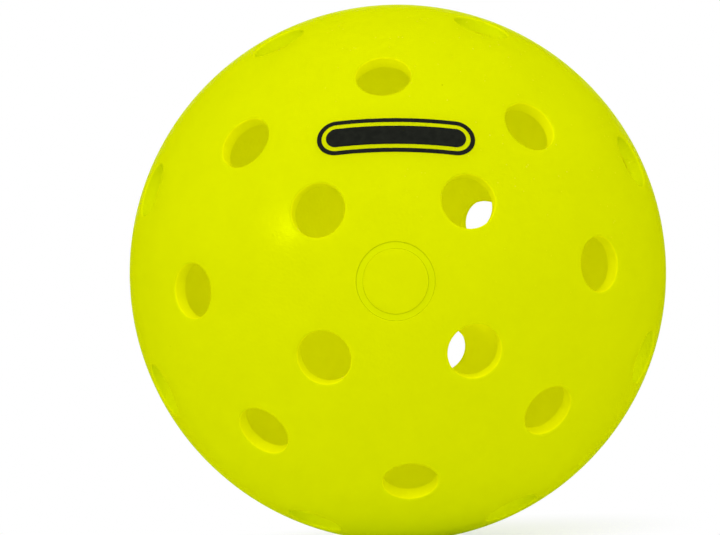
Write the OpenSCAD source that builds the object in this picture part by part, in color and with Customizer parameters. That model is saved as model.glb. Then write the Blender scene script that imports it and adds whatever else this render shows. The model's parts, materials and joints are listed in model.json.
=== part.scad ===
// Perforated hollow plastic ball for a paddle court game.
// Two equal moulded half shells are welded edge to edge at the equator and drilled with forty holes.
// Origin at the ball's centre. The pole axis runs along Y, with the front pole at -Y, and +Z is up.
// All sizes are in millimetres and degrees.

/* [Shell] */
// Outside diameter of the ball
ball_d = 74; // [70:0.5:78]
// Thickness of the moulded wall
wall = 1.9; // [1.4:0.1:2.6]

/* [Holes] */
// Diameter of every drilled hole
hole_d = 7.4; // [6:0.1:8.6]
// Softened edge round the outer mouth of each hole
hole_lip = 0.3; // [0.1:0.05:0.6]
// Angle of the first ring of holes from the pole
ring_1_angle = 22.3; // [20:0.1:25]
// Angle of the second ring of holes from the pole
ring_2_angle = 47.5; // [44:0.1:51]
// Angle of the third ring of holes from the pole
ring_3_angle = 74.5; // [71:0.1:78]
// Holes in the first ring of each half
ring_1_holes = 4; // [3:1:6]
// Holes in the second ring, and in the third, of each half
ring_2_holes = 8; // [6:1:10]

/* [Seam] */
// Width of the weld band between the two halves
weld_w = 0.8; // [0.4:0.1:1.6]
// How far the bead inside the ball laps onto each half
bead_lap = 0.3; // [0.1:0.1:0.8]

/* [Pole ring] */
// Diameter of the shallow ring sunk round each pole
pole_ring_d = 9.6; // [7:0.1:13]
// Width of that ring's groove
pole_ring_w = 0.9; // [0.5:0.1:1.5]
// Depth of that ring's groove
pole_ring_depth = 0.2; // [0.1:0.05:0.4]

/* [Printed badge] */
// Length of the badge round the ball
badge_l = 21; // [16:0.5:24]
// Height of the badge
badge_h = 5.2; // [4:0.1:6]
// Width of the badge's outline
badge_line = 0.6; // [0.4:0.1:0.8]
// Bare gap between the outline and the bar inside it
badge_gap = 0.6; // [0.3:0.1:0.9]
// Angle of the badge's middle from the front pole
badge_angle = 31.4; // [30:0.1:33]
// Turn of the badge round the pole axis, from +X towards +Z
badge_turn = 86.3; // [80:0.1:95]
// Thickness of the ink
ink = 0.05; // [0.03:0.01:0.1]

/* [Hidden] */
$fn = 96;

outer_r = ball_d / 2;
inner_r = outer_r - wall;
hole_r = hole_d / 2;

// The second ring starts on +X. The first ring lines up with its second hole, the third stands half a pitch on.
ring_2_pitch = 360 / ring_2_holes;
rings = [
    [ring_1_angle, ring_1_holes, ring_2_pitch],
    [ring_2_angle, ring_2_holes, 0],
    [ring_3_angle, ring_2_holes, ring_2_pitch / 2],
];
// The rear half is the front half turned over and clocked back by half a pitch, so the holes stagger at the seam.
rear_clock = -ring_2_pitch / 2;

// Height along a hole's own axis where its straight wall gives way to the softened mouth
mouth_z = sqrt(outer_r * outer_r - hole_r * hole_r) - hole_lip;
// Height at which the softened mouth has cleared the ball
clear_z = outer_r + hole_lip;

bead_r = weld_w / 2 + bead_lap;
badge_inset = badge_line + badge_gap;

plastic = "#DDE902";
weld_plastic = "#D3DF08";
ink_black = "#20221D";

// Turns a half's own frame, pole up, so that its pole points to -Y
module pole_to_front() {
    rotate([90, 0, 0]) children();
}

// One hole's bore and its softened mouth, along +Z from inside the hollow to outside the ball
module hole_cutter() {
    flare = clear_z - mouth_z;
    rotate_extrude()
        polygon([
            [0, inner_r / 2],
            [hole_r, inner_r / 2],
            [hole_r, mouth_z],
            [hole_r + flare, clear_z],
            [0, clear_z],
        ]);
}

// All the holes of one half, pole up
module half_holes() {
    for (ring = rings)
        for (i = [0 : ring[1] - 1])
            rotate([0, ring[0], ring[2] + i * 360 / ring[1]]) hole_cutter();
}

// Section of the pole ring's groove, of even depth below the ball's surface
module pole_ring_section() {
    difference() {
        translate([(pole_ring_d - pole_ring_w) / 2, 0]) square([pole_ring_w, ball_d]);
        circle(r = outer_r - pole_ring_depth);
    }
}

// One moulded half before drilling, pole up, with its flat edge against the weld band
module half_blank() {
    rotate_extrude()
        difference() {
            intersection() {
                circle(r = outer_r);
                translate([0, weld_w / 2]) square(ball_d);
            }
            circle(r = inner_r);
            pole_ring_section();
        }
}

module half_shell() {
    difference() {
        half_blank();
        half_holes();
    }
}

// Stadium outline with round ends, its length along Y
module pill(length, height) {
    straight = length - height;
    square([height, straight], center = true);
    for (side = [-1, 1])
        translate([0, side * straight / 2]) circle(d = height);
}

module badge_outline() {
    difference() {
        pill(badge_l, badge_h);
        pill(badge_l - 2 * badge_line, badge_h - 2 * badge_line);
    }
    pill(badge_l - 2 * badge_inset, badge_h - 2 * badge_inset);
}

module front_half_shell() {
    color(plastic)
        pole_to_front()
            half_shell();
}

module rear_half_shell() {
    color(plastic)
        pole_to_front()
            rotate([0, 0, rear_clock])
                rotate([180, 0, 0])
                    half_shell();
}

// The remelted band through the wall, flush outside, with its round bead inside
module seam_weld() {
    color(weld_plastic)
        pole_to_front()
            rotate_extrude() {
                intersection() {
                    circle(r = outer_r);
                    translate([inner_r - bead_r / 2, -weld_w / 2]) square([wall + bead_r, weld_w]);
                }
                intersection() {
                    circle(r = inner_r);
                    translate([inner_r, 0]) circle(r = bead_r);
                }
            }
}

// A plain badge of ink lying on the front half: an outline with a solid bar inside it
module printed_badge() {
    color(ink_black)
        pole_to_front()
            rotate([0, badge_angle, badge_turn])
                intersection() {
                    difference() {
                        sphere(r = outer_r + ink);
                        sphere(r = outer_r);
                    }
                    linear_extrude(height = ball_d) badge_outline();
                }
}

front_half_shell();
rear_half_shell();
seam_weld();
printed_badge();
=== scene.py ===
"""Perforated hollow ball for a paddle court game.

It is two drilled half shells, the weld between them and a badge of ink. Everything is in metres in the
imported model's frame: the ball's centre is the origin, the pole axis runs along Y with the front pole at -Y,
and +Z is up. Each half is first shaped in its own frame, with its pole along +Z.
"""

import json
import math

import bpy
from mathutils import Matrix, Vector


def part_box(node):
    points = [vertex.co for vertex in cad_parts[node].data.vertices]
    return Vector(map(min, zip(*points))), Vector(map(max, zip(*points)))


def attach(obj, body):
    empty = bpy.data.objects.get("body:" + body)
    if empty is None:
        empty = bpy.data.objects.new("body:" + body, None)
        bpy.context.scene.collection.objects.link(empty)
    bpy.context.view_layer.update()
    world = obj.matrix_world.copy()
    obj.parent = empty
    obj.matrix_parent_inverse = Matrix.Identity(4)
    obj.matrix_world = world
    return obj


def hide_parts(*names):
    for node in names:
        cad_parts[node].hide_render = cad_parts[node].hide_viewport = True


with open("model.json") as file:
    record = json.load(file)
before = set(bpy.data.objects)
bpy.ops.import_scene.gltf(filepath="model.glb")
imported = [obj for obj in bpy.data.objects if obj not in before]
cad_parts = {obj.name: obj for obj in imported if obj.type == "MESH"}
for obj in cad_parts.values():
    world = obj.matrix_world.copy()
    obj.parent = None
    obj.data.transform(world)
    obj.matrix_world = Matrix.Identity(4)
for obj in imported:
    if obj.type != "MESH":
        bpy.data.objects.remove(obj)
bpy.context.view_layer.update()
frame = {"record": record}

MM = 0.001
QUARTER = math.pi / 2

# A half's own pole axis, and what keeps only the part of a place that lies across the whole ball's axis
HALF_AXIS = (0, 0, 1)
ACROSS_AXIS = (1, 0, 1)

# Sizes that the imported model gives
front_low, front_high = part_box("front_half_shell")
OUTER_R = -front_low.y
WELD_HALF = -front_high.y
tether_hole = next(m for m in frame["record"]["mounts"] if m["name"] == "tether_hole")
HOLE_R = tether_hole["dims"]["r_mm"] * MM
RING_1_ANGLE = math.acos(-tether_hole["axis"][1])

# Sizes of the ball that the part's source also names
WALL = 1.9 * MM
INNER_R = OUTER_R - WALL
RING_2_ANGLE = math.radians(47.5)
RING_3_ANGLE = math.radians(74.5)
RING_1_HOLES = 4
RING_2_HOLES = 8
REAR_CLOCK = -math.pi / RING_2_HOLES
BEAD_R = WELD_HALF + 0.3 * MM
POLE_RING_R = 4.8 * MM
POLE_RING_W = 0.9 * MM
POLE_RING_DEPTH = 0.2 * MM
BADGE_L = 21 * MM
BADGE_H = 5.2 * MM
BADGE_LINE = 0.6 * MM
BADGE_GAP = 0.6 * MM
BADGE_ANGLE = math.radians(31.4)
BADGE_TURN = math.radians(86.3)
INK = 0.05 * MM

# Soft edges that the tools leave, and the rims on the ball from which they are swept
LIP_OUT = 0.3 * MM
LIP_IN = 0.05 * MM
RING_EDGE = 0.16 * MM
SEAM_EDGE = 0.14 * MM
RIM_R = HOLE_R + LIP_OUT + 0.75 * MM
POLE_RIM_R = 6.4 * MM
SEAM_RIM_Z = WELD_HALF + 0.6 * MM

# The weld: how far its crown drops towards the halves, how steeply, and how far and where it wanders
WELD_SINK = 0.12 * MM
WELD_POWER = 4
WELD_WANDER = 0.04 * MM
WELD_WAVES = (5, 11, 17, 29, 43)
WELD_FREE = 0.9 * WELD_HALF
BEAD_FREE = BEAD_R / 3

# How finely the shapes are cut
RIM_SIDES = 12
SEAM_SIDES = 64
RIM_LEVELS = 3
SKIN_STEPS = 3
LIP_OUT_STEPS = 8
LIP_IN_STEPS = 5
LAP_STEPS = 2
RING_STEPS = (4, 8, 6, 8, 12)
LINING_STEPS = 10
SEAM_STEPS = 6
PILL_STEPS = 16
BADGE_LEVELS = 3
WELD_STEPS = 12
WELD_TURNS = 360
MERGE = 0.002 * MM
# A pill's corners in sizes of its height, just short of the half at which they would meet
PILL_CORNER = 0.4999
# How far from its rim an open edge still belongs to it, in sizes of the rim
RIM_SLACK = 1.1
SEAM_SLACK = 2

# How far the drill missed each hole's place, in degrees away from the pole and round it, ring by ring.
# The holes that show clearly are as measured, and the others have errors of the same kind.
FRONT_SCATTER = (
    ((0.52, -1.29), (-0.10, -0.76), (0.05, -1.60), (0.18, -0.56)),
    ((0.40, 0.31), (-0.10, 0.09), (0.04, 0.01), (0.21, -0.61),
     (0.56, -0.12), (0.08, 0.29), (0.55, 0.22), (-0.35, 0.23)),
    ((0.1, -0.2), (1.3, 0.1), (0.9, 0.9), (-0.1, -0.3), (0.3, 0.1), (-0.2, 0.2), (0.1, -0.1), (-0.1, 0.3)),
)
REAR_SCATTER = (
    ((-0.50, 0.00), (-0.20, 1.20), (0.30, 2.30), (0.69, 1.67)),
    ((-0.1, 0.3), (0.3, -0.2), (0.1, 0.1), (-0.3, 0.4), (0.2, -0.5), (0.4, 0.1), (-0.2, -0.1), (0.1, 0.2)),
    ((-0.1, 0.2), (0.2, -0.1), (0.1, 0.3), (-0.3, 0.1), (0.1, -0.2), (0.2, 0.2), (-0.2, -0.3), (0.1, 0.1)),
)

# Colours in sRGB
SHELL_COLOUR = "#E5F100"
# The drilled walls' and the inside's colours are brighter copies of the skin's: painted light in place of
# what the milky wall would pass
BRIGHTENED_WALL_COLOUR = "#FAFC00"
BRIGHTENED_INSIDE_COLOUR = "#FBFB00"
WELD_COLOUR = "#D3DF00"
# A pale yellow for the specks of painted sparkle
SPARKLE_COLOUR = "#FAFE40"
INK_COLOUR = "#191B16"
THIN_INK_COLOUR = "#22241E"

# Where each surface of a half lies in its wall, from 0 on the inner surface to 1 on the outer one
LINING_TO = 0.03
DRILLED_SPAN = (0.10, 0.90)
SKIN_FROM = 0.975
GROOVE_SPAN = (0.9, 0.985)
MID_WALL = 0.5

# How the milky plastic passes light on: how much of it scatters and how far, and the painted glow given to
# the drilled walls.
# Near the seam the walls keep the skin's colour, and their painted glow is strongest at their foot.
MILKY_SHARE = 0.5
SCATTER = 20 * MM
SCATTER_TINT = (1.0, 0.9, 0.2)
PAINTED_WALL_GLOW = 0.105
OPEN_WALL_GLOW = 0.48
FOOT_SPAN = (0.3, 1.1)
SEAM_WALLS_TO = 14 * MM
OPEN_WALLS_FROM = 20 * MM
FUSED_TO = 5 * MM

# How much colour the painted shade in the pole ring's groove leaves, on its steep edges and on its floor
GROOVE_EDGE_SHADE = 0.72
GROOVE_FLOOR_SHADE = 0.95
GROOVE_EDGE_SHADE_SPAN = (0.3, 0.8)

# The moulded skin. Its pinholes and grain are drawn coarser than real ones, which would not show, and it has
# pale specks of painted sparkle.
CLOUD_SIZE = 7 * MM
CLOUD_DETAIL = 1.0
CLOUD_SPAN = (0.2, 0.8)
CLOUD_SHADE = 0.96
SPOT_CORE = 0.6
PINHOLE_PITCH = 7 * MM
PINHOLE_R = 0.13 * MM
PINHOLE_SHADE = 0.7
# Pale specks of painted sparkle that stand for glints off the grain, thickest on one side of the ball
SPARKLE_PITCH = 1.4 * MM
SPARKLE_R = 0.16 * MM
SPARKLE_SIDE = (0.55, -0.42, 0.72)
SPARKLE_SPAN = (0.5 * OUTER_R, 0.9 * OUTER_R)
SPARKLE_SHARE = 0.55
SPARKLE_FEW = SPARKLE_SHARE / 8
GRAIN_SIZE = 0.42 * MM
GRAIN_DETAIL = 2.0
GRAIN_HEIGHT = 0.045 * MM
WELD_GRAIN_HEIGHT = GRAIN_HEIGHT / 2
WAVE_SIZE = 5 * MM
WAVE_DETAIL = 1.0
WAVE_HEIGHT = 0.06 * MM
GLOSS = (0.15, 0.22)
SHEEN = 0.06
PLASTIC_IOR = 1.5
RIPPLE_SIZE = 1.5 * MM
RIPPLE_DETAIL = 2.0

# The ink's film
FILM_SIZE = 0.8 * MM
FILM_DETAIL = 3.0
THIN_SPAN = (0.35, 0.75)
MATT_SPAN = (0.3, 0.7)
INK_MATT = (0.55, 0.7)
INK_SHINE = 0.03

# The camera: its picture, the ball's place and radius there in pixels, and how it stands
PICTURE_W = 720
PICTURE_H = 535
BALL_X = 397.864
BALL_Y = 272.8
BALL_PIXELS = 268.28
SENSOR_W = 36
CAMERA_RADII = 22
CAMERA_AZIMUTH = math.radians(0.565)
CAMERA_ELEVATION = math.radians(1.697)
CAMERA_LEAN = math.radians(3.71)
CLIP_NEAR = 0.01
CLIP_FAR = 20

# The white tent round the ball, brighter on the camera's side and a little above
WHITE = (1, 1, 1, 1)
TENT_COLOUR = (0.70, 0.74, 0.74)
TENT_LEAN = (0.0, -0.61, 0.12)
LEAN_COLOUR = (1.13, 1.0, 1.0)

# The floor: how much of it is seen as plain white under the ball, and how pale it is there and further off.
# It is painted paler under the ball, a painted pool of light that sends more light onto the ball's underside.
FLOOR_R = 4
FLOOR_SIDES = 64
WHITE_NEAR = 0.7
WHITE_R = 1.5 * OUTER_R
FILL_PALE_NEAR = 0.9
FILL_PALE_FAR = 0.68
FILL_PALE_R = 3 * OUTER_R

# The soft lamps: their name, the way to them from the ball, their size and the share of full white they add
LAMPS = (
    ("glint", (-0.68, -0.635, 0.367), 0.1, 0.06),
    ("back_fill", (0, 1, 0.25), 0.8, 0.48),
)
LAMP_FAR = 1.2

# How often light may bounce inside the ball
BOUNCES = 24


def add(tree, kind, inputs=None, **settings):
    """Adds one node: settings are its properties, inputs its sockets' values or the nodes that feed them.

    A socket is called by its name, or by its number where several share a name.
    """
    node = tree.nodes.new(kind)
    for name, value in settings.items():
        setattr(node, name, value)
    for key, value in (inputs or {}).items():
        if isinstance(value, bpy.types.Node):
            value = value.outputs[0]
        if isinstance(value, bpy.types.NodeSocket):
            tree.links.new(value, node.inputs[key])
        else:
            node.inputs[key].default_value = value
    return node


def linear(hex_colour):
    """An sRGB hex colour as linear RGBA, by the standard's own curve."""
    parts = [int(hex_colour[i:i + 2], 16) / 255 for i in (1, 3, 5)]
    return tuple(c / 12.92 if c <= 0.04045 else ((c + 0.055) / 1.055) ** 2.4 for c in parts) + (1.0,)


def new_tree(name, sizes):
    """An empty Geometry Nodes tree with named inputs; gives the tree and its inputs by name."""
    tree = bpy.data.node_groups.new(name, "GeometryNodeTree")
    for size, kind in sizes.items():
        tree.interface.new_socket(name=size, in_out="INPUT", socket_type="NodeSocket" + kind)
    tree.interface.new_socket(name="Geometry", in_out="OUTPUT", socket_type="NodeSocketGeometry")
    given = add(tree, "NodeGroupInput")
    return tree, {size: given.outputs[size] for size in sizes}


def close_tree(tree, given, mesh):
    """Ends a tree: turns the finished shape into place, smooths it and gives it its material."""
    placed = add(tree, "GeometryNodeTransform", {"Geometry": mesh, "Rotation": given["Placement"]})
    smooth = add(tree, "GeometryNodeSetShadeSmooth", {"Geometry": placed})
    realized = add(tree, "GeometryNodeRealizeInstances", {"Geometry": smooth})
    dressed = add(tree, "GeometryNodeSetMaterial", {"Geometry": realized, "Material": given["Finish"]})
    add(tree, "NodeGroupOutput", {"Geometry": dressed})


def make_piece(name, tree, sizes):
    """Runs a tree with its sizes and keeps the result as a plain mesh at the origin."""
    piece = bpy.data.objects.new(name, bpy.data.meshes.new(name))
    bpy.context.scene.collection.objects.link(piece)
    modifier = piece.modifiers.new(tree.name, "NODES")
    modifier.node_group = tree
    for socket in tree.interface.items_tree:
        if socket.in_out == "INPUT":
            modifier[socket.identifier] = sizes[socket.name]
    shaped = piece.evaluated_get(bpy.context.evaluated_depsgraph_get())
    mesh = bpy.data.meshes.new_from_object(shaped)
    piece.modifiers.clear()
    for mark in [a.name for a in mesh.attributes if a.name.startswith("rim_")]:
        mesh.attributes.remove(mesh.attributes[mark])
    piece.data = mesh
    mesh.name = name
    return piece


def arc(centre, radius, start, end, steps):
    """Points of an arc in a profile's plane, both ends included; angles run from outwards to the axis."""
    turns = [start + (end - start) * i / steps for i in range(steps + 1)]
    return [(centre[0] + radius * math.cos(t), centre[1] + radius * math.sin(t)) for t in turns]


def points_object(name, points):
    """A row of loose points for a tree to read."""
    mesh = bpy.data.meshes.new(name)
    mesh.from_pydata(points, [], [])
    return bpy.data.objects.new(name, mesh)


def profile_object(name, points):
    """A row of points (distance from a rim's axis, height along it) for a tree to sweep a rim through."""
    return points_object(name, [(rho, 0, height) for rho, height in points])


def without_repeats(points):
    """The points without those that fall on the one before."""
    kept = points[:1]
    for point in points[1:]:
        if math.dist(point, kept[-1]) > MERGE:
            kept.append(point)
    return kept


def drill_marks(name, scatter):
    """The middles of one half's hole rims, pole up: even places with the drill's own error added."""
    reach = math.sqrt(OUTER_R ** 2 - RIM_R ** 2)
    pitch = math.tau / RING_2_HOLES
    ring_angles = (RING_1_ANGLE, RING_2_ANGLE, RING_3_ANGLE)
    ring_clocks = (pitch, 0, pitch / 2)
    points = []
    for angle, clock, errors in zip(ring_angles, ring_clocks, scatter):
        for i, (away, along) in enumerate(errors):
            tilt = angle + math.radians(away)
            turn = clock + math.tau * i / len(errors) + math.radians(along)
            level = reach * math.sin(tilt)
            points.append((level * math.cos(turn), level * math.sin(turn), reach * math.cos(tilt)))
    return points_object(name, points)


def hole_lip_profile():
    """From the ball's surface over the rounded mouth, down the wall and round onto the inner surface."""
    rim = math.asin(RIM_R / OUTER_R)
    out_r = OUTER_R - LIP_OUT
    out_turn = math.asin((HOLE_R + LIP_OUT) / out_r)
    in_r = INNER_R + LIP_IN
    in_turn = math.asin((HOLE_R + LIP_IN) / in_r)
    out_centre = (HOLE_R + LIP_OUT, out_r * math.cos(out_turn))
    in_centre = (HOLE_R + LIP_IN, in_r * math.cos(in_turn))
    mid_wall = (HOLE_R, (out_centre[1] + in_centre[1]) / 2)
    return without_repeats(
        arc((0, 0), OUTER_R, QUARTER - rim, QUARTER - out_turn, SKIN_STEPS)
        + arc(out_centre, LIP_OUT, QUARTER - out_turn, math.pi, LIP_OUT_STEPS)
        + [mid_wall]
        + arc(in_centre, LIP_IN, math.pi, 3 * QUARTER - in_turn, LIP_IN_STEPS)
        + arc((0, 0), INNER_R, QUARTER - in_turn, QUARTER - rim, LAP_STEPS)
    )


def pole_ring_profile():
    """From the pole's rim across the shallow ring's groove to the pole, with the groove's edges softened."""
    half = POLE_RING_W / 2
    soft = RING_EDGE / 2
    outer, inner = POLE_RING_R + half, POLE_RING_R - half
    stops = (POLE_RIM_R, outer + soft, outer - soft, inner + soft, inner - soft, 0)
    points = []
    for start, end, steps in zip(stops, stops[1:], RING_STEPS):
        for i in range(steps):
            rho = start + (end - start) * i / steps
            into = min(max((half + soft - abs(rho - POLE_RING_R)) / RING_EDGE, 0), 1)
            reach = OUTER_R - POLE_RING_DEPTH * into * into * (3 - 2 * into)
            turn = math.asin(rho / OUTER_R)
            points.append((reach * math.sin(turn), reach * math.cos(turn)))
    return points + [(0, OUTER_R)]


def pole_lining_profile():
    """The plain inner surface from under the pole's rim to the pole."""
    rim = math.asin(POLE_RIM_R / OUTER_R)
    return arc((0, 0), INNER_R, QUARTER - rim, QUARTER, LINING_STEPS)


def seam_edge_profile():
    """From the ball's surface round the half's edge, across its flat face and onto the inner surface."""
    edge_r = OUTER_R - SEAM_EDGE
    edge_turn = math.asin((WELD_HALF + SEAM_EDGE) / edge_r)
    edge_centre = (edge_r * math.cos(edge_turn), WELD_HALF + SEAM_EDGE)
    rim = math.asin(SEAM_RIM_Z / OUTER_R)
    inner_turn = math.asin(WELD_HALF / INNER_R)
    return without_repeats(
        arc((0, 0), OUTER_R, rim, edge_turn, SKIN_STEPS)
        + arc(edge_centre, SEAM_EDGE, edge_turn, -QUARTER, SEAM_STEPS)
        + arc((0, 0), INNER_R, inner_turn, rim, SKIN_STEPS)
    )


def open_rim(tree, mark):
    """The open edges that carry a mark."""
    marked = add(tree, "GeometryNodeInputNamedAttribute", {"Name": mark}, data_type="BOOLEAN")
    neighbours = add(tree, "GeometryNodeInputMeshEdgeNeighbors")
    single = add(tree, "FunctionNodeCompare", {2: neighbours, 3: 1}, data_type="INT", operation="EQUAL")
    both = add(tree, "FunctionNodeBooleanMath", {0: single, 1: marked}, operation="AND")
    return add(tree, "GeometryNodeFieldOnDomain", {0: both}, domain="EDGE", data_type="BOOLEAN")


def rim_place(tree, points, index):
    """Where a rim's points stand for one point of a profile: along the rim's axis and out from it."""
    axis = add(tree, "GeometryNodeInputNamedAttribute", {"Name": "rim_axis"}, data_type="FLOAT_VECTOR")
    out = add(tree, "GeometryNodeInputNamedAttribute", {"Name": "rim_out"}, data_type="FLOAT_VECTOR")
    place = add(tree, "GeometryNodeInputPosition")
    at = add(tree, "GeometryNodeSampleIndex", {"Geometry": points, "Value": place, "Index": index},
             data_type="FLOAT_VECTOR")
    split = add(tree, "ShaderNodeSeparateXYZ", {0: at})
    along = add(tree, "ShaderNodeVectorMath", {0: axis, "Scale": split.outputs["Z"]}, operation="SCALE")
    away = add(tree, "ShaderNodeVectorMath", {0: out, "Scale": split.outputs["X"]}, operation="SCALE")
    return add(tree, "ShaderNodeVectorMath", {0: along, 1: away}, operation="ADD")


def set_rim(tree, mesh, mark, points):
    """Sets a rim, which was cut from straight pieces, on a profile's first point, to make it round."""
    return add(tree, "GeometryNodeSetPosition",
               {"Geometry": mesh, "Selection": open_rim(tree, mark), "Position": rim_place(tree, points, 0)})


def sweep_rim(tree, mesh, mark, points):
    """Extrudes a rim ring by ring through the rest of a profile."""
    count = add(tree, "GeometryNodeAttributeDomainSize", {"Geometry": points})
    steps = add(tree, "ShaderNodeMath", {0: count, 1: 1}, operation="SUBTRACT")
    start = add(tree, "GeometryNodeRepeatInput")
    end = add(tree, "GeometryNodeRepeatOutput")
    start.pair_with_output(end)
    end.repeat_items.new("BOOLEAN", "Rim")
    tree.links.new(steps.outputs[0], start.inputs["Iterations"])
    tree.links.new(mesh.outputs[0], start.inputs["Geometry"])
    tree.links.new(open_rim(tree, mark).outputs[0], start.inputs["Rim"])
    pulled = add(tree, "GeometryNodeExtrudeMesh",
                 {"Mesh": start.outputs["Geometry"], "Selection": start.outputs["Rim"], "Offset Scale": 0.0},
                 mode="EDGES")
    following = add(tree, "ShaderNodeMath", {0: start.outputs["Iteration"], 1: 1}, operation="ADD")
    moved = add(tree, "GeometryNodeSetPosition",
                {"Geometry": pulled.outputs["Mesh"], "Selection": pulled.outputs["Top"],
                 "Position": rim_place(tree, points, following)})
    tree.links.new(moved.outputs[0], end.inputs["Geometry"])
    tree.links.new(pulled.outputs["Top"], end.inputs["Rim"])
    return end


def other_leg(tree, radius, leg):
    """The second short side of a right triangle whose long side is a radius."""
    square = add(tree, "ShaderNodeMath", {0: radius, 1: radius}, operation="MULTIPLY")
    own = add(tree, "ShaderNodeMath", {0: leg, 1: leg}, operation="MULTIPLY")
    rest = add(tree, "ShaderNodeMath", {0: square, 1: own}, operation="SUBTRACT")
    return add(tree, "ShaderNodeMath", {0: rest}, operation="SQRT")


def hole_middles(tree, given):
    """The middles of the holes' rims, ring by ring, each moved to where the drill really met the ball."""
    rim_height = other_leg(tree, given["Outer Radius"], given["Rim Radius"])
    pitch = add(tree, "ShaderNodeMath", {0: math.tau, 1: given["Ring 2 Holes"]}, operation="DIVIDE")
    half_pitch = add(tree, "ShaderNodeMath", {0: pitch, 1: 2}, operation="DIVIDE")
    even = add(tree, "GeometryNodeJoinGeometry")
    # The first ring lines up with the second one's second hole, and the third stands half a pitch on
    for ring, holes, clock in (
        ("Ring 1", "Ring 1", pitch),
        ("Ring 2", "Ring 2", 0.0),
        ("Ring 3", "Ring 2", half_pitch),
    ):
        sine = add(tree, "ShaderNodeMath", {0: given[ring + " Angle"]}, operation="SINE")
        cosine = add(tree, "ShaderNodeMath", {0: given[ring + " Angle"]}, operation="COSINE")
        reach = add(tree, "ShaderNodeMath", {0: sine, 1: rim_height}, operation="MULTIPLY")
        height = add(tree, "ShaderNodeMath", {0: cosine, 1: rim_height}, operation="MULTIPLY")
        circle = add(tree, "GeometryNodeMeshCircle", {"Vertices": given[holes + " Holes"], "Radius": reach})
        lift = add(tree, "ShaderNodeCombineXYZ", {"Z": height})
        turn = add(tree, "ShaderNodeCombineXYZ", {"Z": clock})
        placed = add(tree, "GeometryNodeTransform",
                     {"Geometry": circle, "Translation": lift, "Rotation": turn})
        tree.links.new(placed.outputs[0], even.inputs[0])
    place = add(tree, "GeometryNodeInputPosition")
    marks = add(tree, "GeometryNodeObjectInfo", {"Object": given["Drill Marks"]}).outputs["Geometry"]
    closest = add(tree, "GeometryNodeSampleNearest", {"Geometry": marks}, domain="POINT")
    drilled = add(tree, "GeometryNodeSampleIndex", {"Geometry": marks, "Value": place, "Index": closest},
                  data_type="FLOAT_VECTOR")
    return add(tree, "GeometryNodeSetPosition", {"Geometry": even, "Position": drilled})


def rims_on_ball(tree, given, middles):
    """The rims of the holes, of the pole's ring and of the seam, as curves on the ball."""
    radius = given["Outer Radius"]
    place = add(tree, "GeometryNodeInputPosition")
    hole_rim = add(tree, "GeometryNodeCurvePrimitiveCircle",
                   {"Resolution": RIM_SIDES, "Radius": given["Rim Radius"]})
    facing = add(tree, "FunctionNodeAlignRotationToVector", {"Vector": place}, axis="Z")
    hole_rims = add(tree, "GeometryNodeInstanceOnPoints",
                    {"Points": middles, "Instance": hole_rim, "Rotation": facing})
    single_rims = add(tree, "GeometryNodeRealizeInstances", {0: hole_rims})
    outline = add(tree, "GeometryNodeJoinGeometry", {0: single_rims})
    for sides, reach, height in (
        (RIM_SIDES, given["Pole Rim Radius"], other_leg(tree, radius, given["Pole Rim Radius"])),
        (SEAM_SIDES, other_leg(tree, radius, given["Seam Rim Height"]), given["Seam Rim Height"]),
    ):
        circle = add(tree, "GeometryNodeCurvePrimitiveCircle", {"Resolution": sides, "Radius": reach})
        lift = add(tree, "ShaderNodeCombineXYZ", {"Z": height})
        placed = add(tree, "GeometryNodeTransform", {"Geometry": circle, "Translation": lift})
        tree.links.new(placed.outputs[0], outline.inputs[0])
    return outline


def skin_between(tree, given, outline):
    """The ball's skin between its rims.

    Seen from the far pole every rim is a circle on a plane, which is filled, divided evenly and wrapped back.
    """
    radius = given["Outer Radius"]
    place = add(tree, "GeometryNodeInputPosition")
    split = add(tree, "ShaderNodeSeparateXYZ", {0: place})
    depth = add(tree, "ShaderNodeMath", {0: split.outputs["Z"], 1: radius}, operation="ADD")
    level = add(tree, "ShaderNodeCombineXYZ", {"X": split.outputs["X"], "Y": split.outputs["Y"]})
    shrink = add(tree, "ShaderNodeMath", {0: 1, 1: depth}, operation="DIVIDE")
    plane = add(tree, "ShaderNodeVectorMath", {0: level, "Scale": shrink}, operation="SCALE")
    flat = add(tree, "GeometryNodeSetPosition", {"Geometry": outline, "Position": plane})
    filled = add(tree, "GeometryNodeFillCurve", {"Curve": flat}, mode="TRIANGLES")
    fine = add(tree, "GeometryNodeSubdivideMesh", {"Mesh": filled, "Level": RIM_LEVELS})
    far = add(tree, "ShaderNodeVectorMath", {0: place, 1: place}, operation="DOT_PRODUCT").outputs["Value"]
    above = add(tree, "ShaderNodeMath", {0: 1, 1: far}, operation="SUBTRACT")
    below = add(tree, "ShaderNodeMath", {0: 1, 1: far}, operation="ADD")
    stretch = add(tree, "ShaderNodeMath", {0: radius, 1: below}, operation="DIVIDE")
    doubled = add(tree, "ShaderNodeVectorMath", {0: place, "Scale": 2}, operation="SCALE")
    rise = add(tree, "ShaderNodeCombineXYZ", {"Z": above})
    raised = add(tree, "ShaderNodeVectorMath", {0: doubled, 1: rise}, operation="ADD")
    ball = add(tree, "ShaderNodeVectorMath", {0: raised, "Scale": stretch}, operation="SCALE")
    return add(tree, "GeometryNodeSetPosition", {"Geometry": fine, "Position": ball})


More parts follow.
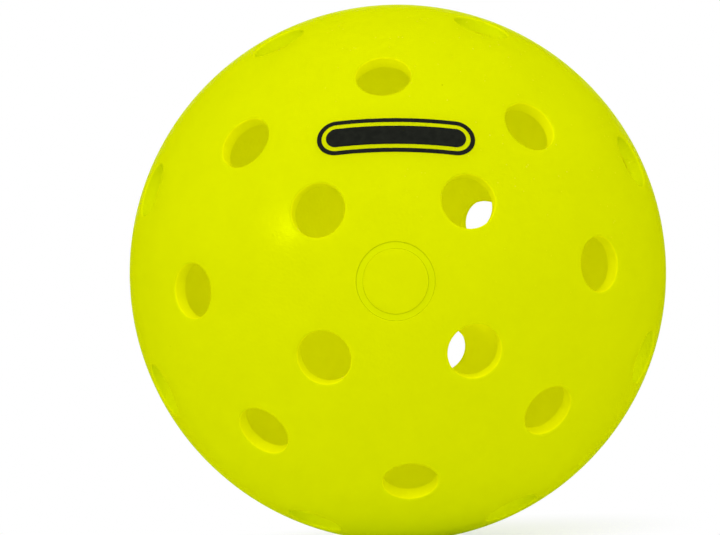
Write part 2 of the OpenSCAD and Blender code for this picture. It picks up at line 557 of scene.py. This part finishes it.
def mark_rims(tree, given, skin, middles):
    """Marks the skin's open edges with the rim each belongs to, that rim's axis and the way out from it."""
    place = add(tree, "GeometryNodeInputPosition")
    split = add(tree, "ShaderNodeSeparateXYZ", {0: place})
    level = add(tree, "ShaderNodeCombineXYZ", {"X": split.outputs["X"], "Y": split.outputs["Y"]})
    from_pole = add(tree, "ShaderNodeVectorMath", {0: level}, operation="LENGTH").outputs["Value"]
    nearest = add(tree, "GeometryNodeSampleNearest", {"Geometry": middles}, domain="POINT")
    middle = add(tree, "GeometryNodeSampleIndex", {"Geometry": middles, "Value": place, "Index": nearest},
                 data_type="FLOAT_VECTOR")
    from_middle = add(tree, "ShaderNodeVectorMath", {0: place, 1: middle}, operation="DISTANCE")
    neighbours = add(tree, "GeometryNodeInputMeshEdgeNeighbors")
    single = add(tree, "FunctionNodeCompare", {2: neighbours, 3: 1}, data_type="INT", operation="EQUAL")
    open_edge = add(tree, "GeometryNodeFieldOnDomain", {0: single}, domain="EDGE", data_type="BOOLEAN")
    for mark, distance, limit, slack in (
        ("rim_hole", from_middle.outputs["Value"], given["Rim Radius"], RIM_SLACK),
        ("rim_pole", from_pole, given["Pole Rim Radius"], RIM_SLACK),
        ("rim_seam", split.outputs["Z"], given["Seam Rim Height"], SEAM_SLACK),
    ):
        reach = add(tree, "ShaderNodeMath", {0: limit, 1: slack}, operation="MULTIPLY")
        near = add(tree, "FunctionNodeCompare", {0: distance, 1: reach},
                   data_type="FLOAT", operation="LESS_THAN")
        both = add(tree, "FunctionNodeBooleanMath", {0: open_edge, 1: near}, operation="AND")
        skin = add(tree, "GeometryNodeStoreNamedAttribute", {"Geometry": skin, "Name": mark, "Value": both},
                   data_type="BOOLEAN", domain="POINT")
    on_hole = add(tree, "GeometryNodeInputNamedAttribute", {"Name": "rim_hole"}, data_type="BOOLEAN")
    hole_axis = add(tree, "ShaderNodeVectorMath", {0: middle}, operation="NORMALIZE")
    axis = add(tree, "GeometryNodeSwitch", {"Switch": on_hole, "False": HALF_AXIS, "True": hole_axis},
               input_type="VECTOR")
    skin = add(tree, "GeometryNodeStoreNamedAttribute", {"Geometry": skin, "Name": "rim_axis", "Value": axis},
               data_type="FLOAT_VECTOR", domain="POINT")
    kept_axis = add(tree, "GeometryNodeInputNamedAttribute", {"Name": "rim_axis"}, data_type="FLOAT_VECTOR")
    on_axis = add(tree, "ShaderNodeVectorMath", {0: place, 1: kept_axis}, operation="PROJECT")
    off_axis = add(tree, "ShaderNodeVectorMath", {0: place, 1: on_axis}, operation="SUBTRACT")
    out = add(tree, "ShaderNodeVectorMath", {0: off_axis}, operation="NORMALIZE")
    return add(tree, "GeometryNodeStoreNamedAttribute", {"Geometry": skin, "Name": "rim_out", "Value": out},
               data_type="FLOAT_VECTOR", domain="POINT")


def half_shell_tree():
    """One drilled half, pole up: a skin, the same drawn in by the wall, and the rims swept between them."""
    tree, given = new_tree("drilled_half", {
        "Outer Radius": "Float", "Wall": "Float", "Rim Radius": "Float", "Pole Rim Radius": "Float",
        "Seam Rim Height": "Float", "Ring 1 Angle": "Float", "Ring 2 Angle": "Float", "Ring 3 Angle": "Float",
        "Ring 1 Holes": "Int", "Ring 2 Holes": "Int", "Drill Marks": "Object", "Hole Lip": "Object",
        "Pole Ring": "Object", "Pole Lining": "Object", "Seam Edge": "Object", "Placement": "Rotation",
        "Finish": "Material",
    })
    middles = hole_middles(tree, given)
    skin = skin_between(tree, given, rims_on_ball(tree, given, middles))
    skin = mark_rims(tree, given, skin, middles)
    profiles = {
        name: add(tree, "GeometryNodeObjectInfo", {"Object": given[name]}).outputs["Geometry"]
        for name in ("Hole Lip", "Pole Ring", "Pole Lining", "Seam Edge")
    }
    outer_rims = (("rim_hole", profiles["Hole Lip"]), ("rim_pole", profiles["Pole Ring"]),
                  ("rim_seam", profiles["Seam Edge"]))
    for mark, points in outer_rims:
        skin = set_rim(tree, skin, mark, points)
    inner_r = add(tree, "ShaderNodeMath", {0: given["Outer Radius"], 1: given["Wall"]}, operation="SUBTRACT")
    draw_in = add(tree, "ShaderNodeMath", {0: inner_r, 1: given["Outer Radius"]}, operation="DIVIDE")
    shrunk = add(tree, "GeometryNodeTransform", {"Geometry": skin, "Scale": draw_in})
    turned = add(tree, "GeometryNodeFlipFaces", {"Mesh": shrunk})
    inner = sweep_rim(tree, turned, "rim_pole", profiles["Pole Lining"])
    outer = skin
    for mark, points in outer_rims:
        outer = sweep_rim(tree, outer, mark, points)
    shell = add(tree, "GeometryNodeJoinGeometry", {0: outer})
    tree.links.new(inner.outputs[0], shell.inputs[0])
    merged = add(tree, "GeometryNodeMergeByDistance", {"Geometry": shell, "Distance": MERGE})
    close_tree(tree, given, merged)
    return tree


def badge_tree():
    """The badge's ink: an outline and a bar, drawn flat, laid on the ball and raised by the ink's depth."""
    tree, given = new_tree("ink_badge", {
        "Outer Radius": "Float", "Length": "Float", "Height": "Float", "Line": "Float", "Gap": "Float",
        "Ink": "Float", "Placement": "Rotation", "Finish": "Material",
    })
    place = add(tree, "GeometryNodeInputPosition")
    inset = add(tree, "ShaderNodeMath", {0: given["Line"], 1: given["Gap"]}, operation="ADD")
    outlines = add(tree, "GeometryNodeJoinGeometry")
    for step in (0.0, given["Line"], inset):
        twice = add(tree, "ShaderNodeMath", {0: step, 1: 2}, operation="MULTIPLY")
        length = add(tree, "ShaderNodeMath", {0: given["Length"], 1: twice}, operation="SUBTRACT")
        height = add(tree, "ShaderNodeMath", {0: given["Height"], 1: twice}, operation="SUBTRACT")
        corner = add(tree, "ShaderNodeMath", {0: height, 1: PILL_CORNER}, operation="MULTIPLY")
        blank = add(tree, "GeometryNodeCurvePrimitiveQuadrilateral", {"Width": height, "Height": length})
        pill = add(tree, "GeometryNodeFilletCurve", {"Curve": blank, "Count": PILL_STEPS, "Radius": corner},
                   mode="POLY")
        tree.links.new(pill.outputs[0], outlines.inputs[0])
    filled = add(tree, "GeometryNodeFillCurve", {"Curve": outlines}, mode="TRIANGLES")
    clean = add(tree, "GeometryNodeMergeByDistance", {"Geometry": filled, "Distance": MERGE})
    fine = add(tree, "GeometryNodeSubdivideMesh", {"Mesh": clean, "Level": BADGE_LEVELS})
    far = add(tree, "ShaderNodeVectorMath", {0: place}, operation="LENGTH").outputs["Value"]
    rise = add(tree, "ShaderNodeCombineXYZ", {"Z": other_leg(tree, given["Outer Radius"], far)})
    laid = add(tree, "GeometryNodeSetPosition", {"Geometry": fine, "Offset": rise})
    away = add(tree, "ShaderNodeVectorMath", {0: place}, operation="NORMALIZE")
    raised = add(tree, "GeometryNodeExtrudeMesh",
                 {"Mesh": laid, "Offset": away, "Offset Scale": given["Ink"], "Individual": False},
                 mode="FACES")
    under = add(tree, "GeometryNodeFlipFaces", {"Mesh": laid})
    film = add(tree, "GeometryNodeJoinGeometry", {0: raised})
    tree.links.new(under.outputs[0], film.inputs[0])
    merged = add(tree, "GeometryNodeMergeByDistance", {"Geometry": film, "Distance": MERGE})
    close_tree(tree, given, merged)
    return tree


def weld_profile():
    """Section of the weld: a low crown outside, flat sides against the halves and a round bead inside."""
    crown = []
    for i in range(WELD_STEPS + 1):
        y = WELD_HALF * (2 * i / WELD_STEPS - 1)
        crown.append((math.sqrt(OUTER_R ** 2 - y ** 2) - WELD_SINK * (y / WELD_HALF) ** WELD_POWER, y))
    foot = math.asin(WELD_HALF / INNER_R)
    lap = math.acos(-BEAD_R / (2 * INNER_R))
    bead = arc((INNER_R, 0), BEAD_R, lap, math.tau - lap, WELD_STEPS)
    lap_end = math.atan2(bead[0][1], bead[0][0])
    upper = arc((0, 0), INNER_R, foot, lap_end, LAP_STEPS)
    lower = arc((0, 0), INNER_R, -lap_end, -foot, LAP_STEPS)
    return without_repeats(crown + upper + bead + lower)


def weld_ring(name, material):
    """The weld, turned round the pole axis; its crown and bead rise and fall, as a trimmed weld's do."""
    section = weld_profile()
    points, faces = [], []
    for turn in range(WELD_TURNS):
        angle = math.tau * turn / WELD_TURNS
        wander = sum(math.sin(waves * angle + waves ** 2) for waves in WELD_WAVES) / len(WELD_WAVES)
        for rho, y in section:
            on_crown = abs(y) < WELD_FREE and rho > OUTER_R - WELD_SINK
            on_bead = rho < INNER_R - BEAD_FREE
            drop = WELD_WANDER * (1 + wander) / 2 if on_crown or on_bead else 0
            reach = rho - drop if rho > INNER_R else rho + drop
            points.append((reach * math.cos(angle), y, reach * math.sin(angle)))
    count = len(section)
    for turn in range(WELD_TURNS):
        here, there = turn * count, (turn + 1) % WELD_TURNS * count
        for i in range(count):
            j = (i + 1) % count
            faces.append((here + i, here + j, there + j, there + i))
    mesh = bpy.data.meshes.new(name)
    mesh.from_pydata(points, [], faces)
    mesh.polygons.foreach_set("use_smooth", [True] * len(faces))
    mesh.materials.append(material)
    piece = bpy.data.objects.new(name, mesh)
    bpy.context.scene.collection.objects.link(piece)
    return piece


def new_material(name):
    """A material with only its output and its shader; gives the material, its tree and the shader."""
    material = bpy.data.materials.new(name)
    material.use_nodes = True
    tree = material.node_tree
    return material, tree, tree.nodes["Principled BSDF"]


def per(size):
    """A pattern's scale on Object coordinates from the real size of its grain."""
    return 1 / size


def moulded_skin(tree, shader, colour, grain_height):
    """What moulding leaves on the plastic: clouds of dye, pinholes, fine grain and uneven gloss, with pale
    specks of painted sparkle.

    The faint sheen takes the dye's colour, so a trace of metal gives it and the colourless highlight is off.
    """
    place = add(tree, "ShaderNodeTexCoord").outputs["Object"]

    # Clouds of slightly denser dye
    clouds = add(tree, "ShaderNodeTexNoise",
                 {"Vector": place, "Scale": per(CLOUD_SIZE), "Detail": CLOUD_DETAIL})
    dye = add(tree, "ShaderNodeMapRange",
              {0: clouds, 1: CLOUD_SPAN[0], 2: CLOUD_SPAN[1], 3: CLOUD_SHADE, 4: 1.0})
    cloudy = add(tree, "ShaderNodeVectorMath", {0: colour, "Scale": dye}, operation="SCALE")

    # Pinholes where a bubble reached the surface
    bubbles = add(tree, "ShaderNodeTexVoronoi", {"Vector": place, "Scale": per(PINHOLE_PITCH)})
    far = add(tree, "ShaderNodeMath", {0: bubbles.outputs["Distance"], 1: PINHOLE_PITCH},
              operation="MULTIPLY")
    open_skin = add(tree, "ShaderNodeMapRange",
                    {0: far, 1: PINHOLE_R * SPOT_CORE, 2: PINHOLE_R, 3: PINHOLE_SHADE, 4: 1.0})
    pitted = add(tree, "ShaderNodeVectorMath", {0: cloudy, "Scale": open_skin}, operation="SCALE")

    # Painted sparkle: pale specks that stand for glints, thickest on one side of the ball
    side = add(tree, "ShaderNodeVectorMath", {0: place, 1: SPARKLE_SIDE}, operation="DOT_PRODUCT")
    drift = add(tree, "ShaderNodeMapRange",
                {0: side.outputs["Value"], 1: SPARKLE_SPAN[0], 2: SPARKLE_SPAN[1], 3: SPARKLE_FEW, 4: SPARKLE_SHARE})
    sparkle_cells = add(tree, "ShaderNodeTexVoronoi", {"Vector": place, "Scale": per(SPARKLE_PITCH)})
    off = add(tree, "ShaderNodeMath", {0: sparkle_cells.outputs["Distance"], 1: SPARKLE_PITCH},
              operation="MULTIPLY")
    painted_sparkle = add(tree, "ShaderNodeMapRange", {0: off, 1: SPARKLE_R * SPOT_CORE, 2: SPARKLE_R, 3: drift, 4: 0.0})
    sparkled = add(tree, "ShaderNodeMix", {"Factor": painted_sparkle, "A": pitted, "B": linear(SPARKLE_COLOUR)},
                  data_type="RGBA")
    tree.links.new(sparkled.outputs["Result"], shader.inputs["Base Color"])

    # Grain and slow waves of the mould
    grain = add(tree, "ShaderNodeTexNoise",
                {"Vector": place, "Scale": per(GRAIN_SIZE), "Detail": GRAIN_DETAIL})
    waves = add(tree, "ShaderNodeTexNoise",
                {"Vector": place, "Scale": per(WAVE_SIZE), "Detail": WAVE_DETAIL})
    swell = add(tree, "ShaderNodeBump", {"Height": waves, "Distance": WAVE_HEIGHT, "Strength": 1.0})
    bump = add(tree, "ShaderNodeBump",
               {"Height": grain, "Distance": grain_height, "Strength": 1.0, "Normal": swell})
    tree.links.new(bump.outputs[0], shader.inputs["Normal"])
    gloss = add(tree, "ShaderNodeMapRange",
                {0: clouds, 1: CLOUD_SPAN[0], 2: CLOUD_SPAN[1], 3: GLOSS[0], 4: GLOSS[1]})
    tree.links.new(gloss.outputs[0], shader.inputs["Roughness"])
    shader.inputs["Metallic"].default_value = SHEEN
    shader.inputs["IOR"].default_value = PLASTIC_IOR
    shader.inputs["Specular IOR Level"].default_value = 0.0
    shader.inputs["Specular Tint"].default_value = (0, 0, 0, 1)


def shell_plastic():
    """Polyethylene dyed through with a daylight-fluorescent yellow and moulded, its holes drilled afterwards.

    It is milky, so light comes in through the wall. The holes' walls and the inside have brighter copies of
    its colour, and
    the walls a glow: painted light, so that the walls look as bright as the skin and the inside only a shade
    deeper.
    """
    material, tree, shader = new_material("moulded_polyethylene")
    place = add(tree, "ShaderNodeTexCoord").outputs["Object"]
    reach = add(tree, "ShaderNodeVectorMath", {0: place}, operation="LENGTH").outputs["Value"]
    depth = add(tree, "ShaderNodeMapRange", {0: reach, 1: INNER_R, 2: OUTER_R})

    # The pole ring's groove is moulded skin too, although it is as deep as the lips of the holes
    aside = add(tree, "ShaderNodeVectorMath", {0: place, 1: ACROSS_AXIS}, operation="MULTIPLY")
    from_pole = add(tree, "ShaderNodeVectorMath", {0: aside}, operation="LENGTH").outputs["Value"]
    at_pole = add(tree, "ShaderNodeMath", {0: from_pole, 1: POLE_RIM_R}, operation="LESS_THAN")
    outside = add(tree, "ShaderNodeMath", {0: depth, 1: MID_WALL}, operation="GREATER_THAN")
    pole_skin = add(tree, "ShaderNodeMath", {0: at_pole, 1: outside}, operation="MULTIPLY")
    sunk = add(tree, "ShaderNodeMapRange", {0: depth, 1: GROOVE_SPAN[0], 2: GROOVE_SPAN[1], 3: 1.0, 4: 0.0})
    groove = add(tree, "ShaderNodeMath", {0: pole_skin, 1: sunk}, operation="MULTIPLY")
    level = add(tree, "ShaderNodeMath", {0: depth, 1: pole_skin}, operation="MAXIMUM")

    # Inside, drilled wall and skin by their depth in the wall; the ramp's alpha marks what was drilled.
    # The inside and the walls get brighter copies of the skin's colour: painted light.
    zones = add(tree, "ShaderNodeValToRGB", {0: level})
    stops = zones.color_ramp.elements
    stops[0].position = LINING_TO
    stops[0].color = linear(BRIGHTENED_INSIDE_COLOUR)[:3] + (0.0,)
    stops[1].position = SKIN_FROM
    stops[1].color = linear(SHELL_COLOUR)[:3] + (0.0,)
    for at in DRILLED_SPAN:
        stops.new(at).color = linear(BRIGHTENED_WALL_COLOUR)
    drilled = zones.outputs["Alpha"]

    # Near the seam the last ring's walls keep the skin's colour, and their painted glow is strongest at their
    # foot and fades towards the lip
    along = add(tree, "ShaderNodeSeparateXYZ", {0: place}).outputs["Y"]
    from_seam = add(tree, "ShaderNodeMath", {0: along}, operation="ABSOLUTE")
    thin = add(tree, "ShaderNodeMapRange", {0: from_seam, 1: SEAM_WALLS_TO, 2: OPEN_WALLS_FROM})
    near_seam = add(tree, "ShaderNodeMath", {0: 1, 1: thin}, operation="SUBTRACT")
    unbrightened = add(tree, "ShaderNodeMath", {0: drilled, 1: near_seam}, operation="MULTIPLY")
    wall = add(tree, "ShaderNodeMix",
               {"Factor": unbrightened, "A": zones.outputs["Color"], "B": linear(SHELL_COLOUR)}, data_type="RGBA")
    foot = add(tree, "ShaderNodeMapRange", {0: depth, 1: FOOT_SPAN[0], 2: FOOT_SPAN[1], 3: 1.0, 4: 0.0})
    painted_glow = add(tree, "ShaderNodeMapRange", {0: thin, 3: foot, 4: OPEN_WALL_GLOW})
    through = add(tree, "ShaderNodeMath", {0: drilled, 1: painted_glow}, operation="MULTIPLY")
    # Painted glow: the walls give off their brightened colour though they are no lamp
    painted_wall_light = add(tree, "ShaderNodeVectorMath", {0: linear(BRIGHTENED_WALL_COLOUR)[:3], "Scale": through},
                     operation="SCALE")
    tree.links.new(painted_wall_light.outputs[0], shader.inputs["Emission Color"])
    shader.inputs["Emission Strength"].default_value = PAINTED_WALL_GLOW

    # Painted shade darkens the steep edges and, a little, the floor of the pole ring's groove
    groove_shade = add(tree, "ShaderNodeValToRGB", {0: sunk})
    stops = groove_shade.color_ramp.elements
    stops[0].color = WHITE
    stops[1].color = (GROOVE_FLOOR_SHADE, GROOVE_FLOOR_SHADE, GROOVE_FLOOR_SHADE, 1)
    for at in GROOVE_EDGE_SHADE_SPAN:
        stops.new(at).color = (GROOVE_EDGE_SHADE, GROOVE_EDGE_SHADE, GROOVE_EDGE_SHADE, 1)
    groove_shading = add(tree, "ShaderNodeMix", {"Factor": pole_skin, "A": WHITE, "B": groove_shade}, data_type="RGBA")
    tone = add(tree, "ShaderNodeVectorMath", {0: wall.outputs["Result"], 1: groove_shading.outputs["Result"]},
               operation="MULTIPLY")
    moulded_skin(tree, shader, tone, GRAIN_HEIGHT)

    # Light scatters under the skin, but fades out where the wall was drilled and in the groove. It fades out
    # at the seam too: each half is a closed mesh, which would stop it there and leave a dark band.
    fused = add(tree, "ShaderNodeMapRange", {0: from_seam, 1: WELD_HALF, 2: FUSED_TO, 3: 1.0, 4: 0.0})
    dense = add(tree, "ShaderNodeMath", {0: drilled, 1: groove}, operation="MAXIMUM")
    dense = add(tree, "ShaderNodeMath", {0: dense, 1: fused}, operation="MAXIMUM")
    milky = add(tree, "ShaderNodeMapRange", {0: dense, 3: MILKY_SHARE, 4: 0.0})
    tree.links.new(milky.outputs[0], shader.inputs["Subsurface Weight"])
    shader.inputs["Subsurface Radius"].default_value = SCATTER_TINT
    shader.inputs["Subsurface Scale"].default_value = SCATTER
    return material


def weld_plastic():
    """The same polyethylene, melted again by the hot plate: a shade deeper, smoother and a little rippled."""
    material, tree, shader = new_material("remelted_polyethylene")
    place = add(tree, "ShaderNodeTexCoord").outputs["Object"]
    ripples = add(tree, "ShaderNodeTexNoise",
                  {"Vector": place, "Scale": per(RIPPLE_SIZE), "Detail": RIPPLE_DETAIL})
    melt = add(tree, "ShaderNodeMix",
               {"Factor": ripples, "A": linear(WELD_COLOUR), "B": linear(SHELL_COLOUR)}, data_type="RGBA")
    moulded_skin(tree, shader, melt.outputs["Result"], WELD_GRAIN_HEIGHT)
    return material


def badge_ink():
    """Black pad-printing ink: a flat matt film, thin in places, with the plastic's grain showing through."""
    material, tree, shader = new_material("pad_printed_ink")
    place = add(tree, "ShaderNodeTexCoord").outputs["Object"]
    film = add(tree, "ShaderNodeTexNoise",
               {"Vector": place, "Scale": per(FILM_SIZE), "Detail": FILM_DETAIL})
    thin = add(tree, "ShaderNodeMapRange", {0: film, 1: THIN_SPAN[0], 2: THIN_SPAN[1]})
    tone = add(tree, "ShaderNodeMix",
               {"Factor": thin, "A": linear(INK_COLOUR), "B": linear(THIN_INK_COLOUR)}, data_type="RGBA")
    tree.links.new(tone.outputs["Result"], shader.inputs["Base Color"])
    grain = add(tree, "ShaderNodeTexNoise",
                {"Vector": place, "Scale": per(GRAIN_SIZE), "Detail": GRAIN_DETAIL})
    bump = add(tree, "ShaderNodeBump", {"Height": grain, "Distance": GRAIN_HEIGHT, "Strength": 1.0})
    tree.links.new(bump.outputs[0], shader.inputs["Normal"])
    matt = add(tree, "ShaderNodeMapRange",
               {0: film, 1: MATT_SPAN[0], 2: MATT_SPAN[1], 3: INK_MATT[0], 4: INK_MATT[1]})
    tree.links.new(matt.outputs[0], shader.inputs["Roughness"])
    shader.inputs["Specular IOR Level"].default_value = INK_SHINE
    return material


def seen(tree):
    """One for rays that the eye follows, straight, off a gloss or through plastic, and nought for others."""
    path = add(tree, "ShaderNodeLightPath")
    direct = add(tree, "ShaderNodeMath", {0: path.outputs["Is Camera Ray"], 1: path.outputs["Is Glossy Ray"]},
                 operation="MAXIMUM")
    return add(tree, "ShaderNodeMath", {0: direct, 1: path.outputs["Is Transmission Ray"]},
               operation="MAXIMUM")


def set_camera(scene):
    """The camera, about two degrees off the pole axis and leaning, with the ball off the picture's middle."""
    data = bpy.data.cameras.new("camera")
    data.sensor_width = SENSOR_W
    data.lens = BALL_PIXELS * math.sqrt(CAMERA_RADII ** 2 - 1) * SENSOR_W / PICTURE_W
    data.shift_x = (PICTURE_W / 2 - BALL_X) / PICTURE_W
    data.shift_y = (BALL_Y - PICTURE_H / 2) / PICTURE_W
    data.clip_start = CLIP_NEAR
    data.clip_end = CLIP_FAR
    camera = bpy.data.objects.new("camera", data)
    scene.collection.objects.link(camera)
    back = Vector((
        math.sin(CAMERA_AZIMUTH) * math.cos(CAMERA_ELEVATION),
        -math.cos(CAMERA_AZIMUTH) * math.cos(CAMERA_ELEVATION),
        math.sin(CAMERA_ELEVATION),
    ))
    up = Vector((math.sin(CAMERA_LEAN), 0, math.cos(CAMERA_LEAN)))
    right = up.cross(back).normalized()
    stand = Matrix((right, back.cross(right), back)).transposed().to_4x4()
    camera.matrix_world = Matrix.Translation(back * CAMERA_RADII * OUTER_R) @ stand
    scene.camera = camera


def set_tent(scene):
    """The world: a pale tent whose light leans to the camera's side, seen as plain white."""
    world = bpy.data.worlds.new("studio")
    scene.world = world
    world.use_nodes = True
    tree = world.node_tree
    way = add(tree, "ShaderNodeTexCoord").outputs["Generated"]
    lean = add(tree, "ShaderNodeVectorMath", {0: way, 1: TENT_LEAN}, operation="DOT_PRODUCT").outputs["Value"]
    tent = add(tree, "ShaderNodeVectorMath", {0: LEAN_COLOUR, 1: lean, 2: TENT_COLOUR},
               operation="MULTIPLY_ADD")
    light = add(tree, "ShaderNodeMix", {"Factor": seen(tree), "A": tent, "B": WHITE}, data_type="RGBA")
    tree.links.new(light.outputs["Result"], tree.nodes["Background"].inputs["Color"])


def make_floor(scene):
    """A pale matt floor that is seen as white but for the ball's shadow. It is painted palest under the ball,
    a painted pool of light that lights the ball's underside.
    """
    turns = [math.tau * i / FLOOR_SIDES for i in range(FLOOR_SIDES)]
    edge = [(FLOOR_R * math.cos(turn), FLOOR_R * math.sin(turn), -OUTER_R) for turn in turns]
    mesh = bpy.data.meshes.new("floor")
    mesh.from_pydata(edge, [], [range(FLOOR_SIDES)])
    floor = bpy.data.objects.new("floor", mesh)
    scene.collection.objects.link(floor)
    material = bpy.data.materials.new("white_floor")
    material.use_nodes = True
    tree = material.node_tree
    tree.nodes.clear()
    place = add(tree, "ShaderNodeTexCoord").outputs["Object"]
    reach = add(tree, "ShaderNodeVectorMath", {0: place}, operation="LENGTH").outputs["Value"]
    bright = add(tree, "ShaderNodeMapRange", {0: reach, 1: OUTER_R, 2: WHITE_R, 3: WHITE_NEAR, 4: 1.0},
                 interpolation_type="SMOOTHSTEP")
    share = add(tree, "ShaderNodeMath", {0: seen(tree), 1: bright}, operation="MULTIPLY")
    # Painted pool of light: the floor is paler under the ball, to light the ball's underside
    pale = add(tree, "ShaderNodeMapRange", {0: reach, 1: OUTER_R, 2: FILL_PALE_R, 3: FILL_PALE_NEAR, 4: FILL_PALE_FAR})
    matt = add(tree, "ShaderNodeBsdfDiffuse", {"Color": pale})
    white = add(tree, "ShaderNodeEmission", {"Strength": 1.0})
    mix = add(tree, "ShaderNodeMixShader", {0: share, 1: matt, 2: white})
    add(tree, "ShaderNodeOutputMaterial", {"Surface": mix})
    mesh.materials.append(material)
    return floor


def soft_lamp(scene, name, direction, size, share):
    """A round soft lamp aimed at the ball; share is how much of full white it adds where it falls square."""
    data = bpy.data.lights.new(name, "AREA")
    data.shape = "DISK"
    data.size = size
    data.energy = math.pi ** 2 * share * LAMP_FAR ** 2
    lamp = bpy.data.objects.new(name, data)
    aim = Vector(direction).normalized()
    lamp.location = aim * LAMP_FAR
    lamp.rotation_euler = aim.to_track_quat("Z", "Y").to_euler()
    scene.collection.objects.link(lamp)


pole_to_front = Matrix.Rotation(QUARTER, 4, "X")
turn_over = Matrix.Rotation(REAR_CLOCK, 4, "Z") @ Matrix.Rotation(math.pi, 4, "X")
badge_tilt = Matrix.Rotation(BADGE_TURN, 4, "Z") @ Matrix.Rotation(BADGE_ANGLE, 4, "Y")

guides = {
    "Hole Lip": profile_object("hole_lip", hole_lip_profile()),
    "Pole Ring": profile_object("pole_ring", pole_ring_profile()),
    "Pole Lining": profile_object("pole_lining", pole_lining_profile()),
    "Seam Edge": profile_object("seam_edge", seam_edge_profile()),
}
front_marks = drill_marks("front_marks", FRONT_SCATTER)
rear_marks = drill_marks("rear_marks", REAR_SCATTER)
half_sizes = guides | {
    "Outer Radius": OUTER_R, "Wall": WALL, "Rim Radius": RIM_R, "Pole Rim Radius": POLE_RIM_R,
    "Seam Rim Height": SEAM_RIM_Z, "Ring 1 Angle": RING_1_ANGLE, "Ring 2 Angle": RING_2_ANGLE,
    "Ring 3 Angle": RING_3_ANGLE, "Ring 1 Holes": RING_1_HOLES, "Ring 2 Holes": RING_2_HOLES,
    "Finish": shell_plastic(),
}
half_tree = half_shell_tree()
front_shell = make_piece("front_shell", half_tree, half_sizes | {
    "Placement": pole_to_front.to_euler(), "Drill Marks": front_marks,
})
rear_shell = make_piece("rear_shell", half_tree, half_sizes | {
    "Placement": (pole_to_front @ turn_over).to_euler(), "Drill Marks": rear_marks,
})
weld = weld_ring("weld_ring", weld_plastic())
badge = make_piece("ink_badge", badge_tree(), {
    "Outer Radius": OUTER_R, "Length": BADGE_L, "Height": BADGE_H, "Line": BADGE_LINE, "Gap": BADGE_GAP,
    "Ink": INK, "Placement": (pole_to_front @ badge_tilt).to_euler(), "Finish": badge_ink(),
})
for guide in (*guides.values(), front_marks, rear_marks):
    bpy.data.objects.remove(guide)

for piece, node, slot in (
    (front_shell, "front_half_shell", "shell_plastic"),
    (rear_shell, "rear_half_shell", "shell_plastic"),
    (weld, "seam_weld", "weld_plastic"),
    (badge, "printed_badge", "badge_ink"),
):
    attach(piece, "root")
    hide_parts(node)

studio = bpy.context.scene
studio.view_settings.view_transform = "Standard"
studio.cycles.diffuse_bounces = BOUNCES
studio.cycles.max_bounces = BOUNCES
set_camera(studio)
set_tent(studio)
make_floor(studio)
for lamp in LAMPS:
    soft_lamp(studio, *lamp)
